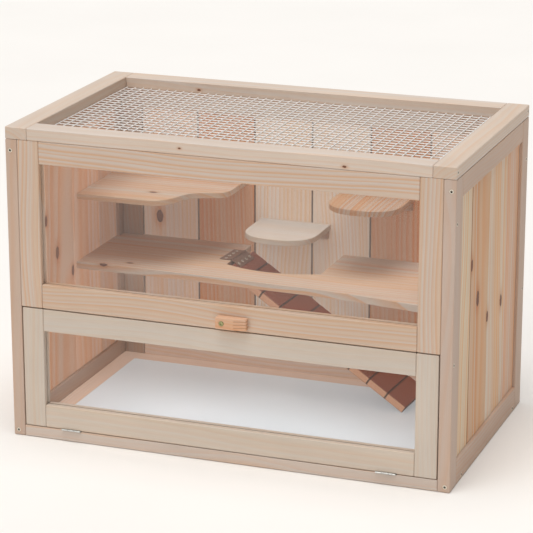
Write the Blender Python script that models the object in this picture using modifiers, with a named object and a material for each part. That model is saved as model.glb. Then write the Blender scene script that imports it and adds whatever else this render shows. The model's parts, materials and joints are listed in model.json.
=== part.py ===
"""Two-storey wooden hamster cage with a mesh lid, a fold-down front door and a hinged ramp.

Frame: metres, +Z up, origin on the resting plane under the middle of the bounding box,
+X to the right along the long side, -Y to the front.
The dimensions below are millimetres from the carcass's front left bottom corner:
x to the right, y to the back, z up. place() turns them into the model's metres.
"""
import math

import bmesh
import bpy
from mathutils import Matrix, Vector

MM = 0.001
GAP = 0.3              # clearance between pieces that touch

# Overall sizes.
WIDTH = 600.0
DEPTH = 350.0
HEIGHT = 420.0
FRONT_PROUD = 12.0     # the turn button's screw stands this far in front of the carcass
BACK_PROUD = 4.0       # the lid hinges' barrels stand this far behind it
MIDDLE_Y = (DEPTH + BACK_PROUD - FRONT_PROUD) / 2

# Planed softwood stock.
STOCK = 16.0           # thickness of every batten
BATTEN = 30.0          # width of posts, stiles and lid rails
CHAMFER = 0.8
TOP = HEIGHT - STOCK   # height of the carcass under the lid
SIDE_RAIL_TOP_Z = 376.0
RAIL_BOTTOM_HEIGHT = 32.0
BOARD = 8.0            # thickness of wall boards, shelves and platforms
BOARD_CHAMFER = 0.6
BOARD_INSET = 4.0      # wall boards lie this far inside the battens' faces
WALL = BOARD_INSET + BOARD
SIDE_JOINTS_Y = (90.0, 175.0, 260.0)
BACK_BOARDS = 6
TONGUE = 2.6
TONGUE_THICK = 2.4

# Base.
BASE_THICK = 10.0
BASE_BORDER = 24.0
LEDGE = 6.0
FLOOR_THICK = 4.0

# Front: rail under the door, door, fixed window.
FRONT_RAIL_HEIGHT = 15.0
DOOR_BOTTOM_Z = 16.0
DOOR_TOP_Z = 179.0
DOOR_SIDE_GAP = 1.5
WINDOW_BOTTOM_Z = 180.5
WINDOW_SILL_Z = 212.5
WINDOW_HEAD_Z = 374.0
DOOR_OPENING_Z = (46.5, 149.0)
PANE = 2.0
PANE_Y = 7.0
PANE_GROOVE = 5.0
PANE_BITE = 4.0

# Door hinges, set edge-on between the door and the rail under it.
DOOR_HINGE_X = (83.5, 516.5)
DOOR_PIN_Y = -1.6
DOOR_PIN_Z = 15.5
DOOR_LEAF = dict(length=27.0, reach=14.6, barrel=1.25, thick=0.6, pin=0.5)
DOOR_LEAF_OFF = 0.3    # each leaf's plate starts this far from the pin line
DOOR_SEAT_DEEP = 0.7

# Turn button: pivots on the window's lower rail, stored turned to the side.
LATCH_X = 300.0
LATCH_Z = 192.0
LATCH_SHORT = 8.4
LATCH_LONG = 32.0
LATCH_WIDE = 15.4
LATCH_THICK = 11.0
LATCH_TIP_THICK = 6.5
LATCH_TAPER_START = 16.0
LATCH_CLEAR = 0.5
LATCH_SCREW_TIP_Y = 12.0
LATCH_HEAD_SEAT = 2.0
SCREW_HEAD = 3.2
SCREW_SHANK = 1.6
SCREW_CLEAR = 0.4

# Lid.
LID_REBATE = 10.0
LID_REBATE_DEEP = 2.0
WIRE_THICK = 1.2
GRILLE_CELLS = (23, 13)
LID_HINGE_X = (110.0, 490.0)
LID_PIN_Y = DEPTH + 2.2
LID_PIN_Z = TOP - 0.15
LID_LEAF = dict(length=38.0, reach=14.0, barrel=1.8, thick=1.0, pin=0.6)
LID_LEAF_OFF = 0.9

# Shelves.
MID_SHELF_Z = 189.0
MID_SHELF_THICK = 10.0
HATCH_X = (210.0, 346.0)
HATCH_SIDE_Y = 241.0
HATCH_BULGE = 16.0
UPPER_SHELF_Z = 284.5
PLATFORM_WIDE = 102.0
PLATFORM_DEEP = 98.0
PLATFORMS = {"centre_platform": (276.5, 231.0), "right_platform": (397.0, 283.3)}
CLEAT = (8.0, 12.0)

# Ramp, hung from the left edge of the hatch.
RAMP_PIN = Vector((211.5, 282.0, 190.2))
RAMP_SLOPE = math.radians(32.85)
RAMP_YAW = math.radians(-3.4)
RAMP_START = 7.0
RAMP_LENGTH = 315.0
RAMP_WIDE = 80.0
RAMP_THICK = 10.0
RAMP_TOP = -0.7
RAMP_GROOVE_PITCH = 31.4
RAMP_GROOVES = 9
RAMP_LEAF = dict(length=48.0, reach=17.0, barrel=1.3, thick=0.8, pin=0.6)

# Countersunk pockets of the carcass screws.
POCKET_RADIUS = 3.0
POCKET_DEPTH = 2.5
POST_SCREW_X = 6.5
POST_SCREW_Z = (7.0, 389.0)
SIDE_SCREW_INSET = 7.0
SIDE_SCREW_Z = (166.5, 347.0)
LID_SCREW_INSET = 6.0
BASE_SCREW_Y = (54.0, 309.0)
BASE_SCREW_Z = 5.0

MATERIALS = {
    "fir_frame": ((0.60, 0.42, 0.27, 1.0), 0.55, 0.0),
    "fir_board": ((0.52, 0.33, 0.20, 1.0), 0.60, 0.0),
    "fir_shelf": ((0.64, 0.45, 0.29, 1.0), 0.55, 0.0),
    "ramp_wood": ((0.22, 0.09, 0.05, 1.0), 0.60, 0.0),
    "latch_wood": ((0.58, 0.34, 0.16, 1.0), 0.50, 0.0),
    "white_laminate": ((0.72, 0.73, 0.74, 1.0), 0.35, 0.0),
    "clear_acrylic": ((0.90, 0.93, 0.94, 1.0), 0.05, 0.0),
    "zinc_steel": ((0.62, 0.62, 0.60, 1.0), 0.35, 1.0),
}


def place(x, y, z):
    """Model position, in metres, of a point given in carcass millimetres."""
    return Vector(((x - WIDTH / 2) * MM, (y - MIDDLE_Y) * MM, z * MM))


def clear_scene():
    for item in list(bpy.data.objects):
        bpy.data.objects.remove(item, do_unlink=True)


def make_collection(name):
    collection = bpy.data.collections.new(name)
    bpy.context.scene.collection.children.link(collection)
    return collection


def make_materials():
    made = {}
    for name, (colour, roughness, metallic) in MATERIALS.items():
        material = bpy.data.materials.new(name)
        material.use_nodes = True
        shader = material.node_tree.nodes["Principled BSDF"]
        shader.inputs["Base Color"].default_value = colour
        shader.inputs["Roughness"].default_value = roughness
        shader.inputs["Metallic"].default_value = metallic
        material.diffuse_color = colour
        made[name] = material
    return made


clear_scene()
PARTS = make_collection("hamster_cage")
CUTTERS = make_collection("cutters")
SLOTS = make_materials()


def add_object(name, mesh, slot):
    item = bpy.data.objects.new(name, mesh)
    if slot is None:
        CUTTERS.objects.link(item)
        item.display_type = "WIRE"
        item.hide_render = True
    else:
        PARTS.objects.link(item)
        mesh.materials.append(SLOTS[slot])
    return item


def soften(item, width=CHAMFER):
    bevel = item.modifiers.new("Chamfer", "BEVEL")
    bevel.width = width * MM
    bevel.segments = 1
    bevel.limit_method = "ANGLE"
    bevel.angle_limit = math.radians(40)


def box(name, x, y, z, slot, chamfer=0.0):
    """A block between (min, max) pairs in carcass millimetres; slot None makes a cutter."""
    mesh = bpy.data.meshes.new(name)
    shape = bmesh.new()
    bmesh.ops.create_cube(shape, size=1.0)
    size = Vector((x[1] - x[0], y[1] - y[0], z[1] - z[0])) * MM
    bmesh.ops.scale(shape, vec=size, verts=shape.verts)
    shape.to_mesh(mesh)
    shape.free()
    item = add_object(name, mesh, slot)
    item.location = place((x[0] + x[1]) / 2, (y[0] + y[1]) / 2, (z[0] + z[1]) / 2)
    if chamfer:
        soften(item, chamfer)
    return item


def outline(name, points, low, high, slot, chamfer=0.0, to_model=True):
    """A flat outline, filled and extruded between two heights, as a welded mesh."""
    curve = bpy.data.curves.new(name, "CURVE")
    curve.dimensions = "2D"
    curve.fill_mode = "BOTH"
    curve.extrude = (high - low) / 2 * MM
    spline = curve.splines.new("POLY")
    spline.points.add(len(points) - 1)
    for point, (x, y) in zip(spline.points, points):
        flat = place(x, y, 0) if to_model else Vector((x, y, 0)) * MM
        point.co = (flat.x, flat.y, 0, 1)
    spline.use_cyclic_u = True
    holder = bpy.data.objects.new(name + "_curve", curve)
    bpy.context.scene.collection.objects.link(holder)
    holder.location.z = (low + high) / 2 * MM
    bpy.context.view_layer.update()
    evaluated = holder.evaluated_get(bpy.context.evaluated_depsgraph_get())
    mesh = bpy.data.meshes.new_from_object(evaluated)
    shape = bmesh.new()
    shape.from_mesh(mesh)
    bmesh.ops.remove_doubles(shape, verts=shape.verts, dist=0.00001)
    bmesh.ops.recalc_face_normals(shape, faces=shape.faces)
    bmesh.ops.dissolve_limit(shape, angle_limit=0.001, verts=shape.verts, edges=shape.edges)
    shape.transform(holder.matrix_world)
    shape.to_mesh(mesh)
    shape.free()
    bpy.data.objects.remove(holder)
    mesh.materials.clear()
    mesh.name = name
    item = add_object(name, mesh, slot)
    if chamfer:
        soften(item, chamfer)
    return item


def rods(name, spans, radius, slot, sides=12):
    """Round bars in one mesh; each span is (start, end), two points in model metres."""
    mesh = bpy.data.meshes.new(name)
    shape = bmesh.new()
    for start, end in spans:
        along = end - start
        turn = along.to_track_quat("Z", "Y").to_matrix().to_4x4()
        matrix = Matrix.Translation((start + end) / 2) @ turn
        bmesh.ops.create_cone(shape, cap_ends=True, segments=sides, radius1=radius * MM,
                              radius2=radius * MM, depth=along.length, matrix=matrix)
    shape.to_mesh(mesh)
    shape.free()
    return add_object(name, mesh, slot)


def combine(item, other, operation):
    modifier = item.modifiers.new(operation.title(), "BOOLEAN")
    modifier.operation = operation
    modifier.solver = "EXACT"
    modifier.object = other


def cut(item, other):
    combine(item, other, "DIFFERENCE")


def bezier(start, first, second, end, steps):
    """Points of a cubic curve without its start."""
    points = []
    for index in range(1, steps + 1):
        t = index / steps
        s = 1 - t
        weights = (s ** 3, 3 * s * s * t, 3 * s * t * t, t ** 3)
        corners = (start, first, second, end)
        points.append(tuple(sum(w * c[axis] for w, c in zip(weights, corners)) for axis in (0, 1)))
    return points


def mirrored(span, size):
    return (size - span[1], size - span[0])


def pockets(item, seats):
    """Cut countersunk screw pockets; a seat is (point in millimetres, direction into the wood)."""
    spans = []
    for point, inward in seats:
        mouth = place(*point)
        into = Vector(inward) * MM
        spans.append((mouth - into, mouth + into * POCKET_DEPTH))
    cut(item, rods(item.name + "_pockets", spans, POCKET_RADIUS, None, sides=10))


# ---------------------------------------------------------------- carcass

def make_posts():
    for side in ("left", "right"):
        x = (0.0, STOCK)
        screw_x = POST_SCREW_X
        outer_x = 0.0
        into_x = 1.0
        if side == "right":
            x = mirrored(x, WIDTH)
            screw_x = WIDTH - POST_SCREW_X
            outer_x = WIDTH
            into_x = -1.0
        for end, y, face_y, into_y in (("front", (0.0, BATTEN), 0.0, 1.0),
                                       ("back", (DEPTH - BATTEN, DEPTH), DEPTH, -1.0)):
            post = box(f"post_{end}_{side}", x, y, (0.0, TOP - GAP), "fir_frame", CHAMFER)
            seats = [((screw_x, face_y, z), (0, into_y, 0)) for z in POST_SCREW_Z]
            side_y = abs(face_y - SIDE_SCREW_INSET)
            seats += [((outer_x, side_y, z), (into_x, 0, 0)) for z in SIDE_SCREW_Z]
            pockets(post, seats)


def side_panel_outline(x):
    """Edge-glued panel in plan, with a fine V groove at each joint on both faces."""
    front = BATTEN + GAP
    back = DEPTH - BATTEN - GAP
    vee = 0.7
    points = [(x[0], front)]
    for joint in SIDE_JOINTS_Y:
        points += [(x[0], joint - vee), (x[0] + vee, joint), (x[0], joint + vee)]
    points += [(x[0], back), (x[1], back)]
    for joint in reversed(SIDE_JOINTS_Y):
        points += [(x[1], joint + vee), (x[1] - vee, joint), (x[1], joint - vee)]
    points.append((x[1], front))
    return points


def make_sides():
    y = (BATTEN + GAP, DEPTH - BATTEN - GAP)
    for side in ("left", "right"):
        rail_x = (0.0, STOCK)
        panel_x = (BOARD_INSET, WALL)
        outer_x = 0.0
        into_x = 1.0
        if side == "right":
            rail_x = mirrored(rail_x, WIDTH)
            panel_x = mirrored(panel_x, WIDTH)
            outer_x = WIDTH
            into_x = -1.0
        top_z = (SIDE_RAIL_TOP_Z, TOP - GAP)
        bottom_z = (0.0, RAIL_BOTTOM_HEIGHT)
        box(f"side_{side}_top_rail", rail_x, y, top_z, "fir_frame", CHAMFER)
        bottom = box(f"side_{side}_bottom_rail", rail_x, y, bottom_z, "fir_frame", CHAMFER)
        seats = [((outer_x, screw_y, BASE_SCREW_Z), (into_x, 0, 0)) for screw_y in BASE_SCREW_Y]
        pockets(bottom, seats)
        outline(f"side_{side}_panel", side_panel_outline(panel_x), RAIL_BOTTOM_HEIGHT + GAP,
                SIDE_RAIL_TOP_Z - GAP, "fir_board")


def back_board_outline(left, right, first, last):
    """One back board in plan: tongue at its right edge, groove at its left, arrises taken off."""
    inner = DEPTH - WALL
    outer = DEPTH - BOARD_INSET
    middle = (inner + outer) / 2
    arris = 1.0
    half = TONGUE_THICK / 2
    seat = half + GAP
    points = [(left, outer - arris)]
    if not first:
        points += [(left, middle + seat), (left + TONGUE + GAP, middle + seat),
                   (left + TONGUE + GAP, middle - seat), (left, middle - seat)]
    points += [(left, inner + arris), (left + arris, inner), (right - arris, inner), (right, inner + arris)]
    if not last:
        points += [(right, middle - half), (right + TONGUE, middle - half),
                   (right + TONGUE, middle + half), (right, middle + half)]
    points += [(right, outer - arris), (right - arris, outer), (left + arris, outer)]
    return points


def make_back():
    y = (DEPTH - STOCK, DEPTH)
    stile_x = (STOCK + GAP, STOCK + BATTEN)
    rail_x = (STOCK + BATTEN + GAP, WIDTH - STOCK - BATTEN - GAP)
    box("back_stile_left", stile_x, y, (0.0, TOP - GAP), "fir_frame", CHAMFER)
    box("back_stile_right", mirrored(stile_x, WIDTH), y, (0.0, TOP - GAP), "fir_frame", CHAMFER)
    box("back_top_rail", rail_x, y, (SIDE_RAIL_TOP_Z, TOP - GAP), "fir_frame", CHAMFER)
    box("back_bottom_rail", rail_x, y, (0.0, RAIL_BOTTOM_HEIGHT), "fir_frame", CHAMFER)
    pitch = (rail_x[1] - rail_x[0] + GAP) / BACK_BOARDS
    for index in range(BACK_BOARDS):
        left = rail_x[0] + index * pitch
        points = back_board_outline(left, left + pitch - GAP, index == 0, index == BACK_BOARDS - 1)
        outline(f"back_board_{index + 1}", points, RAIL_BOTTOM_HEIGHT + GAP, SIDE_RAIL_TOP_Z - GAP,
                "fir_board")


def make_base():
    """Border rails with a ledge, and the white floor board flush between them."""
    x = (STOCK + GAP, WIDTH - STOCK - GAP)
    y = (STOCK + GAP, DEPTH - STOCK - GAP)
    z = (GAP, BASE_THICK)
    ledge_z = BASE_THICK - FLOOR_THICK - GAP
    border_x = (x[0] + BASE_BORDER, x[1] - BASE_BORDER)
    border_y = (y[0] + BASE_BORDER, y[1] - BASE_BORDER)
    side_x = (x[0], border_x[0] + LEDGE)
    across_x = (side_x[1] + GAP, WIDTH - side_x[1] - GAP)
    rebate = box("floor_rebate", border_x, border_y, (ledge_z, BASE_THICK + 1), None)
    rails = (
        box("base_rail_left", side_x, y, z, "fir_frame"),
        box("base_rail_right", mirrored(side_x, WIDTH), y, z, "fir_frame"),
        box("base_rail_front", across_x, (y[0], border_y[0] + LEDGE), z, "fir_frame"),
        box("base_rail_back", across_x, (border_y[1] - LEDGE, y[1]), z, "fir_frame"),
    )
    for rail in rails:
        cut(rail, rebate)
    box("floor_board", (border_x[0] + GAP, border_x[1] - GAP), (border_y[0] + GAP, border_y[1] - GAP),
        (ledge_z + GAP, BASE_THICK), "white_laminate")


def make_front_rail():
    rail = box("front_bottom_rail", (STOCK + GAP, WIDTH - STOCK - GAP), (0.0, STOCK),
               (0.0, FRONT_RAIL_HEIGHT), "fir_frame", CHAMFER)
    seat_z = (FRONT_RAIL_HEIGHT - DOOR_SEAT_DEEP, FRONT_RAIL_HEIGHT + 1)
    for index, x in enumerate(DOOR_HINGE_X):
        cut(rail, hinge_seat(f"front_rail_seat_{index}", x, seat_z))


# ---------------------------------------------------------------- glazed frames

def glazed_frame(prefix, x, z, opening_x, opening_z):
    """Two full-height stiles, two rails between them and a pane in a groove all round."""
    y = (0.0, STOCK)
    groove_y = (PANE_Y - GAP, PANE_Y + PANE + GAP)
    rail_x = (opening_x[0] + GAP, opening_x[1] - GAP)
    over = 1.0
    groove_x = (opening_x[0] - PANE_GROOVE, opening_x[1] + PANE_GROOVE)
    groove_z = (opening_z[0] - PANE_GROOVE, opening_z[1] + PANE_GROOVE)
    stile_groove = box(prefix + "_stile_groove", groove_x, groove_y, (z[0] - over, z[1] + over), None)
    across = (rail_x[0] - over, rail_x[1] + over)
    rail_groove = box(prefix + "_rail_groove", across, groove_y, groove_z, None)
    stiles = (
        box(prefix + "_stile_left", (x[0], opening_x[0]), y, z, "fir_frame", CHAMFER),
        box(prefix + "_stile_right", (opening_x[1], x[1]), y, z, "fir_frame", CHAMFER),
    )
    rails = (
        box(prefix + "_bottom_rail", rail_x, y, (z[0], opening_z[0]), "fir_frame", CHAMFER),
        box(prefix + "_top_rail", rail_x, y, (opening_z[1], z[1]), "fir_frame", CHAMFER),
    )
    for stile in stiles:
        cut(stile, stile_groove)
    for rail in rails:
        cut(rail, rail_groove)
    pane_x = (opening_x[0] - PANE_BITE, opening_x[1] + PANE_BITE)
    pane_z = (opening_z[0] - PANE_BITE, opening_z[1] + PANE_BITE)
    pane = box(prefix + "_pane", pane_x, (PANE_Y, PANE_Y + PANE), pane_z, "clear_acrylic")
    return [*stiles, *rails, pane]


def make_window():
    opening_x = (STOCK + BATTEN, WIDTH - STOCK - BATTEN)
    pieces = glazed_frame("window", (STOCK + GAP, WIDTH - STOCK - GAP), (WINDOW_BOTTOM_Z, TOP - GAP),
                          opening_x, (WINDOW_SILL_Z, WINDOW_HEAD_Z))
    bottom_rail = pieces[2]
    start = place(LATCH_X, -1.0, LATCH_Z)
    end = place(LATCH_X, LATCH_SCREW_TIP_Y + 1.0, LATCH_Z)
    cut(bottom_rail, rods("latch_pilot_hole", [(start, end)], SCREW_SHANK + GAP, None))


def make_door():
    """The fold-down door, carried by an empty on its hinge axis."""
    pivot = add_pivot("door_pivot", place(WIDTH / 2, DOOR_PIN_Y, DOOR_PIN_Z))
    edge = STOCK + DOOR_SIDE_GAP
    stile = BATTEN - 1.0
    pieces = glazed_frame("door", (edge, WIDTH - edge), (DOOR_BOTTOM_Z, DOOR_TOP_Z),
                          (edge + stile, WIDTH - edge - stile), DOOR_OPENING_Z)
    bottom_rail = pieces[2]
    seat_z = (DOOR_BOTTOM_Z - 1, DOOR_BOTTOM_Z + DOOR_SEAT_DEEP)
    for index, x in enumerate(DOOR_HINGE_X):
        cut(bottom_rail, hinge_seat(f"door_seat_{index}", x, seat_z))
    carry(pieces, pivot)
    under = (-DOOR_LEAF_OFF - DOOR_LEAF["thick"], -DOOR_LEAF_OFF)
    over = (DOOR_LEAF_OFF, DOOR_LEAF_OFF + DOOR_LEAF["thick"])
    for side, x in zip(("left", "right"), DOOR_HINGE_X):
        level = Matrix.Translation(place(x, DOOR_PIN_Y, DOOR_PIN_Z))
        hinge_leaf(f"door_hinge_{side}_fixed_leaf", DOOR_LEAF, under, True, level)
        moving = hinge_leaf(f"door_hinge_{side}_moving_leaf", DOOR_LEAF, over, False, level)
        carry([moving], pivot)


# ---------------------------------------------------------------- hinges and pivots

def add_pivot(name, location, rotation=None):
    """An empty on a joint's axis, which carries the pieces that turn about it."""
    pivot = bpy.data.objects.new(name, None)
    PARTS.objects.link(pivot)
    matrix = Matrix.Translation(location)
    if rotation is not None:
        matrix = matrix @ rotation
    pivot.matrix_world = matrix
    bpy.context.view_layer.update()
    return pivot


def carry(pieces, pivot):
    bpy.context.view_layer.update()
    for piece in pieces:
        piece.parent = pivot
        piece.matrix_parent_inverse = pivot.matrix_world.inverted()


def hinge_seat(name, x, z):
    """Cutter of the shallow pocket that a door hinge's leaf lies in."""
    half = DOOR_LEAF["length"] / 2 + GAP
    return box(name, (x - half, x + half), (-1.0, DOOR_PIN_Y + DOOR_LEAF["reach"] + GAP), z, None)


def leaf_outline(length, reach, clear, fixed):
    """Plan of a leaf: a plate whose knuckle fingers run in to the pin line.

    The plate's free shoulders slope back a little from the fingers.
    """
    half = length / 2
    third = length / 6
    slack = 0.15
    ease = 0.2
    if fixed:
        finger = third - slack
        points = [(half, reach), (-half, reach), (-half, clear + ease), (-finger, clear), (-finger, 0.0),
                  (finger, 0.0), (finger, clear), (half, clear + ease)]
        return points, [(-finger, finger)]
    inner = third + slack
    points = [(half, reach), (-half, reach), (-half, 0.0), (-inner, 0.0), (-inner, clear),
              (0.0, clear + ease), (inner, clear), (inner, 0.0), (half, 0.0)]
    return points, [(-half, -inner), (inner, half)]


def hinge_leaf(name, sizes, offset, fixed, matrix):
    """One leaf of a butt hinge. Its pin lies along local X and its plate runs out along local Y.

    offset is the plate's (low, high) height over the pin line. The fixed leaf holds the pin.
    """
    clear = sizes["barrel"] + 0.4
    points, fingers = leaf_outline(sizes["length"], sizes["reach"], clear, fixed)
    leaf = outline(name, points, offset[0], offset[1], "zinc_steel", to_model=False)
    barrels = []
    shy = 0.1
    for low, high in fingers:
        barrels.append((Vector((low + shy, 0, 0)) * MM, Vector((high - shy, 0, 0)) * MM))
    knuckles = rods(name + "_barrels", barrels, sizes["barrel"], None)
    combine(leaf, knuckles, "UNION")
    half = sizes["length"] / 2
    if fixed:
        line = [(Vector((-half, 0, 0)) * MM, Vector((half, 0, 0)) * MM)]
        pin = rods(name + "_pin", line, sizes["pin"], None)
        combine(leaf, pin, "UNION")
    else:
        line = [(Vector((-half - 1, 0, 0)) * MM, Vector((half + 1, 0, 0)) * MM)]
        pin = rods(name + "_bore", line, sizes["pin"] + 0.2, None)
        cut(leaf, pin)
    for piece in (leaf, knuckles, pin):
        piece.matrix_world = matrix @ piece.matrix_world
    return leaf


# ---------------------------------------------------------------- turn button

def make_latch():
    """Wooden turn button: local X runs to its tip, local Y out of the door's face."""
    pivot = place(LATCH_X, -LATCH_CLEAR, LATCH_Z)
    points = [(-LATCH_SHORT, 0.0), (LATCH_LONG, 0.0), (LATCH_LONG, LATCH_TIP_THICK),
              (LATCH_TAPER_START, LATCH_THICK), (-LATCH_SHORT, LATCH_THICK)]
    block = outline("latch_block", points, -LATCH_WIDE / 2, LATCH_WIDE / 2, "latch_wood", CHAMFER, False)
    block.matrix_world = Matrix.Translation(pivot) @ Matrix.Rotation(math.pi, 4, "X")
    face_y = -LATCH_CLEAR - LATCH_THICK
    bore = [(place(LATCH_X, face_y - 1, LATCH_Z), place(LATCH_X, 1, LATCH_Z))]
    cut(block, rods("latch_bore", bore, SCREW_SHANK + SCREW_CLEAR, None))
    seat = [(place(LATCH_X, face_y - 1, LATCH_Z), place(LATCH_X, face_y + LATCH_HEAD_SEAT, LATCH_Z))]
    cut(block, rods("latch_head_seat", seat, SCREW_HEAD + SCREW_CLEAR, None, sides=16))
    make_latch_screw(face_y)


def make_latch_screw(face_y):
    """Raised-head screw as a turned profile; its axis is local Z, pointing to the front."""
    head_top = FRONT_PROUD + face_y
    head_low = GAP - LATCH_HEAD_SEAT
    tip = face_y - LATCH_SCREW_TIP_Y
    point = 3.0
    profile = [(0.0, head_top), (SCREW_HEAD - 0.5, head_top), (SCREW_HEAD, head_top - 0.4),
               (SCREW_HEAD, head_low), (SCREW_SHANK, head_low), (SCREW_SHANK, tip + point), (0.0, tip)]
    mesh = bpy.data.meshes.new("latch_screw")
    shape = bmesh.new()
    verts = [shape.verts.new((r * MM, 0, z * MM)) for r, z in profile]
    for first, second in zip(verts, verts[1:]):
        shape.edges.new((first, second))
    shape.to_mesh(mesh)
    shape.free()
    screw = add_object("latch_screw", mesh, "zinc_steel")
    to_front = Matrix.Rotation(math.pi / 2, 4, "X")
    screw.matrix_world = Matrix.Translation(place(LATCH_X, face_y, LATCH_Z)) @ to_front
    turn = screw.modifiers.new("Turn", "SCREW")
    turn.axis = "Z"
    turn.steps = 16
    turn.render_steps = 16
    turn.use_merge_vertices = True
    turn.merge_threshold = 0.00001


# ---------------------------------------------------------------- lid

def make_lid():
    """Four rails, rebated under for the wire mesh, on two butt hinges at the back."""
    pivot = add_pivot("lid_pivot", place(WIDTH / 2, LID_PIN_Y, LID_PIN_Z))
    z = (TOP, HEIGHT)
    inner_x = (BATTEN, WIDTH - BATTEN)
    across_x = (BATTEN + GAP, WIDTH - BATTEN - GAP)
    rebate_x = (inner_x[0] - LID_REBATE, inner_x[1] + LID_REBATE)
    rebate_y = (BATTEN - LID_REBATE, DEPTH - BATTEN + LID_REBATE)
    rebate = box("lid_rebate", rebate_x, rebate_y, (TOP - 1, TOP + LID_REBATE_DEEP), None)
    rails = [
        box("lid_rail_left", (0.0, BATTEN), (0.0, DEPTH), z, "fir_frame", CHAMFER),
        box("lid_rail_right", (WIDTH - BATTEN, WIDTH), (0.0, DEPTH), z, "fir_frame", CHAMFER),
        box("lid_rail_front", across_x, (0.0, BATTEN), z, "fir_frame", CHAMFER),
        box("lid_rail_back", across_x, (DEPTH - BATTEN, DEPTH), z, "fir_frame", CHAMFER),
    ]
    for rail in rails:
        cut(rail, rebate)
    for rail, outer_x, into_x in ((rails[0], 0.0, 1.0), (rails[1], WIDTH, -1.0)):
        screws_y = (LID_SCREW_INSET, DEPTH - LID_SCREW_INSET)
        pockets(rail, [((outer_x, y, TOP + STOCK / 2), (into_x, 0, 0)) for y in screws_y])
    mesh = make_lid_mesh(rebate_x, rebate_y)
    carry([*rails, mesh], pivot)
    inward = (-LID_LEAF_OFF - LID_LEAF["thick"], -LID_LEAF_OFF)
    outward = (LID_LEAF_OFF, LID_LEAF_OFF + LID_LEAF["thick"])
    for side, x in zip(("left", "right"), LID_HINGE_X):
        pin = Matrix.Translation(place(x, LID_PIN_Y, LID_PIN_Z))
        down = pin @ Matrix.Rotation(math.radians(-90), 4, "X")
        up = pin @ Matrix.Rotation(math.radians(90), 4, "X")
        hinge_leaf(f"lid_hinge_{side}_fixed_leaf", LID_LEAF, inward, True, down)
        moving = hinge_leaf(f"lid_hinge_{side}_moving_leaf", LID_LEAF, outward, False, up)
        carry([moving], pivot)


def make_lid_mesh(x, y):
    """Open lattice of square bars that stands for the welded wire mesh."""
    mesh = bpy.data.meshes.new("lid_mesh")
    shape = bmesh.new()
    size = Vector((x[1] - x[0] - 2 * GAP - WIRE_THICK, y[1] - y[0] - 2 * GAP - WIRE_THICK, 0)) * MM
    bmesh.ops.create_grid(shape, x_segments=GRILLE_CELLS[0], y_segments=GRILLE_CELLS[1], size=0.5)
    bmesh.ops.scale(shape, vec=Vector((size.x, size.y, 1)), verts=shape.verts)
    shape.to_mesh(mesh)
    shape.free()
    grille = add_object("lid_mesh", mesh, "zinc_steel")
    grille.location = place((x[0] + x[1]) / 2, (y[0] + y[1]) / 2, TOP + LID_REBATE_DEEP / 2)
    bars = grille.modifiers.new("Bars", "WIREFRAME")
    bars.thickness = WIRE_THICK * MM
    bars.use_boundary = True
    bars.use_replace = True
    bars.use_even_offset = True
    return grille


# ---------------------------------------------------------------- shelves

def back_corner(side):
    """Shelf outline where it goes round the back post and the back stile."""
    wall_x = WALL + GAP
    post_x = STOCK + GAP
    stile_x = STOCK + BATTEN + GAP
    post_y = DEPTH - BATTEN - GAP
    stile_y = DEPTH - STOCK - GAP
    back_y = DEPTH - WALL - GAP
    points = [(stile_x, back_y), (stile_x, stile_y), (post_x, stile_y), (post_x, post_y), (wall_x, post_y)]
    if side == "left":
        return points
    return [(WIDTH - x, y) for x, y in reversed(points)]


def hatch_outline():
    """The hatch from the back edge, down its right side, round its bowed front and back up."""
    left, right = HATCH_X
    half = (right - left) / 2
    radius = (half ** 2 + HATCH_BULGE ** 2) / (2 * HATCH_BULGE)
    centre_y = HATCH_SIDE_Y - HATCH_BULGE + radius
    spread = math.asin(half / radius)
    steps = 10
    points = [(right, DEPTH - WALL - GAP)]
    for index in range(steps + 1):
        angle = spread * (1 - 2 * index / steps)
        points.append((left + half + radius * math.sin(angle), centre_y - radius * math.cos(angle)))
    points.append((left, DEPTH - WALL - GAP))
    return points


def make_mid_shelf():
    """Full-width shelf with a gently waved front edge and the ramp hatch at the back."""
    left = WALL + GAP
    points = [(left, 182.0), (110.0, 182.0)]
    points += bezier((110.0, 182.0), (190.0, 181.0), (270.0, 177.0), (345.0, 175.0), 6)
    points += bezier((345.0, 175.0), (430.0, 172.0), (510.0, 152.0), (WIDTH - left, 147.0), 8)
    points += back_corner("right")
    points += hatch_outline()
    points += back_corner("left")
    low = MID_SHELF_Z - MID_SHELF_THICK
    outline("mid_shelf", points, low, MID_SHELF_Z, "fir_shelf", BOARD_CHAMFER)


def make_upper_shelf():
    """Shelf in the left back corner, its free edge swept back in an S."""
    points = [(WALL + GAP, 187.0), (112.0, 187.0)]
    points += bezier((112.0, 187.0), (136.0, 187.0), (144.0, 204.0), (151.0, 226.0), 6)
    points += bezier((151.0, 226.0), (157.0, 243.0), (168.0, 248.0), (184.0, 252.0), 5)
    points += bezier((184.0, 252.0), (201.0, 256.0), (205.0, 266.0), (205.0, 282.0), 5)
    points.append((205.0, DEPTH - WALL - GAP))
    points += back_corner("left")
    outline("upper_shelf", points, UPPER_SHELF_Z - BOARD, UPPER_SHELF_Z, "fir_shelf", BOARD_CHAMFER)


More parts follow.
